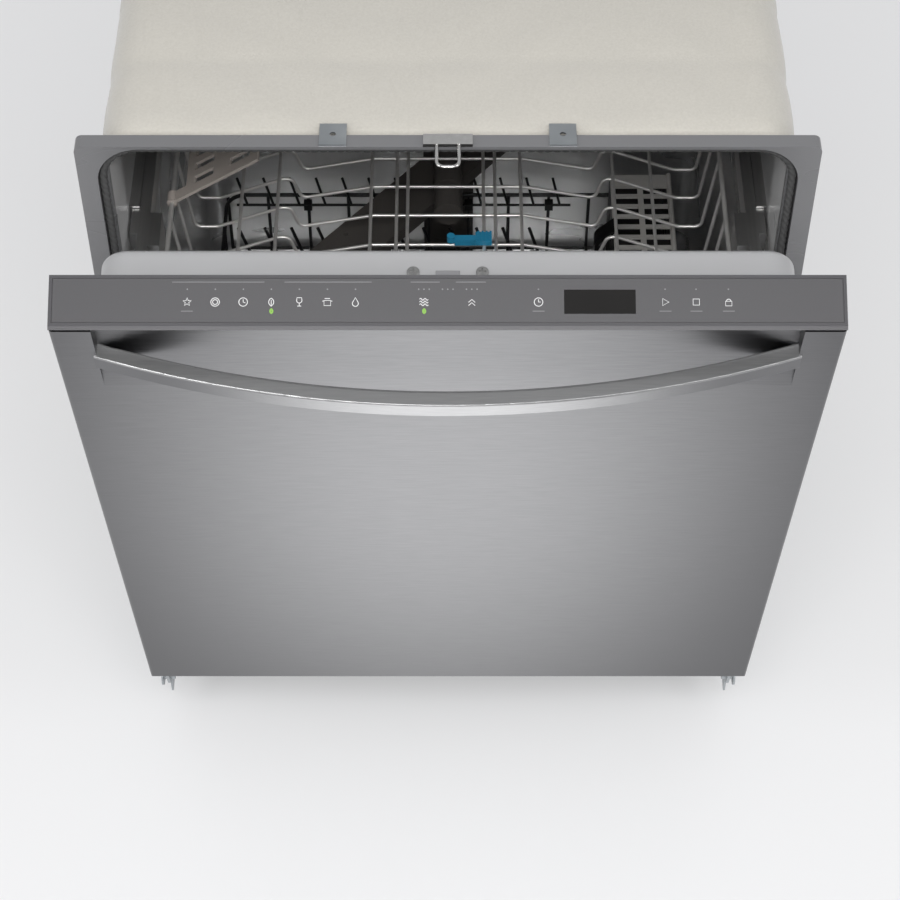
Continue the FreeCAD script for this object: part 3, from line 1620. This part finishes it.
def basket_lid():
    """The basket's lid with two columns of slots for the cutlery."""
    x, y, z = basket_span()
    pivot = basket_lid_place()
    low = z[1] + running_gap
    shape = block((x[0], pivot.x), y, (low, low + basket_lid_sheet))
    barrel = rod(Vector(pivot.x, y[0], pivot.z), Vector(pivot.x, y[1], pivot.z), basket_lid_barrel)
    slots = []
    for place in range(int((basket_length - basket_lid_slot_pitch) / basket_lid_slot_pitch)):
        start = y[0] + basket_lid_slot_pitch / 2 + basket_lid_slot_pitch * place
        for column in SIDES:
            middle = sum(x) / 2 + column * basket_width / 4
            slots.append(block(
                (middle - basket_lid_slot_length / 2, middle + basket_lid_slot_length / 2),
                (start, start + basket_lid_slot_width), (low - overrun, low + basket_lid_sheet + overrun),
            ))
    return shape.cut(slots).fuse(barrel).removeSplitter()


def basket_strap():
    """The S-shaped strap that lifts the basket, fixed to its left wall."""
    x, y, z = basket_span()
    middle_y = sum(y) / 2
    face = x[0] - strap_thickness / 2
    points = [
        Vector(face, middle_y, z[1] - strap_overlap), Vector(face, middle_y, z[1]),
        Vector(face - strap_swing, middle_y, z[1] + strap_swing),
        Vector(face - strap_swing, middle_y, z[1] + strap_rise - strap_swing),
        Vector(face, middle_y, z[1] + strap_rise),
    ]
    start = points[0]
    corners = [
        Vector(start.x + a * strap_thickness / 2, middle_y + b * strap_width / 2, start.z)
        for a, b in ((-1, -1), (1, -1), (1, 1), (-1, 1))
    ]
    face_shape = Part.Face(Part.makePolygon(corners + corners[:1]))
    return bent_path(points, strap_bend).makePipe(face_shape)


# Assembly. Each group is put in its rest place: the door ajar, the racks as far out as the door lets them.
fixed_pieces = {
    "tub": tub(),
    "tub_gasket": tub_gasket(),
    "insulation_blanket": insulation_blanket(),
    "left_side_frame": side_frame(-1),
    "right_side_frame": side_frame(1),
    "front_crossmember": crossmember(crossmember_front_y),
    "rear_crossmember": crossmember(crossmember_rear_y),
    "frame_screws": frame_screws(),
    "base_pan": base_pan(),
    "toe_kick_panel": toe_kick_panel(),
    "sump": sump(),
    "filter_plate": filter_plate(),
    "filter_cylinder": filter_cylinder(),
    "wash_pump_motor": wash_pump_motor(),
    "drain_pump": drain_pump(),
    "inlet_valve": inlet_valve(),
    "junction_box": junction_box(),
    "heating_element": heating_element(),
    "water_conduit": water_conduit(),
    "lower_spray_arm": lower_spray_arm(),
    "ceiling_spray_arm": ceiling_spray_arm(),
    "float_cap": float_cap(),
    "door_strike": door_strike(),
    "counter_brackets": counter_brackets(),
    "outer_rails": outer_rails(),
    "front_left_foot": foot(-foot_x, foot_front_y),
    "front_right_foot": foot(foot_x, foot_front_y),
    "rear_left_foot": foot(-foot_x, foot_back_y),
    "rear_right_foot": foot(foot_x, foot_back_y),
}
door_pieces = {
    "outer_panel": outer_panel(),
    "handle": handle(),
    "inner_liner": inner_liner(),
    "latch_screws": latch_screws(),
    "left_hinge_arm": hinge_arm(-1),
    "right_hinge_arm": hinge_arm(1),
    "bottom_seal": bottom_seal(),
    "console": console(),
    "control_overlay": control_overlay(),
    "display_window": display_window(),
    "control_board": control_board(),
    "latch_housing": latch_housing(),
    "dispenser_body": dispenser_body(),
    "dispenser_lid": dispenser_lid(),
    "rinse_cap": rinse_cap(),
}
upper_rack_pieces = {
    "rack_rails": rack_rails(),
    "upper_rack": upper_rack(),
    "rack_feed_tube": rack_feed_tube(),
    "middle_spray_arm": middle_spray_arm(),
    "blue_clip": blue_clip(),
    "cup_shelf": cup_shelf(),
}
lower_rack_pieces = {
    "lower_rack": lower_rack(),
    "left_tine_row": tine_row(-1),
    "right_tine_row": tine_row(1),
    "tine_clips": tine_clips(),
    "front_wheels": wheel_pair(wheel_front_y),
    "rear_wheels": wheel_pair(wheel_rear_y),
    "silverware_basket": silverware_basket(),
    "basket_lid": basket_lid(),
    "basket_strap": basket_strap(),
}
rail_pieces = {"middle_rails": middle_rails()}

hinge_point = Vector(0, hinge_y, hinge_z)
for piece in door_pieces.values():
    piece.rotate(hinge_point, X_AXIS, door_ajar)
for group, shift in (
    (upper_rack_pieces, upper_rack_shift),
    (rail_pieces, upper_rail_shift),
    (lower_rack_pieces, lower_rack_shift),
):
    for piece in group.values():
        piece.translate(Y_AXIS * shift)

pieces = {}
for group in (fixed_pieces, door_pieces, rail_pieces, upper_rack_pieces, lower_rack_pieces):
    pieces.update(group)

# The origin is the middle of the footprint at floor level, with the door ajar.
whole = FreeCAD.BoundBox()
for piece in pieces.values():
    whole.add(piece.optimalBoundingBox(False, False))
origin_shift = Vector(-whole.Center.x, -whole.Center.y, -whole.ZMin)
print("size", whole.XLength, whole.YLength, whole.ZLength)
print("origin shift", origin_shift)

os.makedirs("parts", exist_ok=True)
for name, piece in pieces.items():
    piece.translate(origin_shift)
    piece.exportStep(f"parts/{name}.step")
print(len(pieces), "pieces")
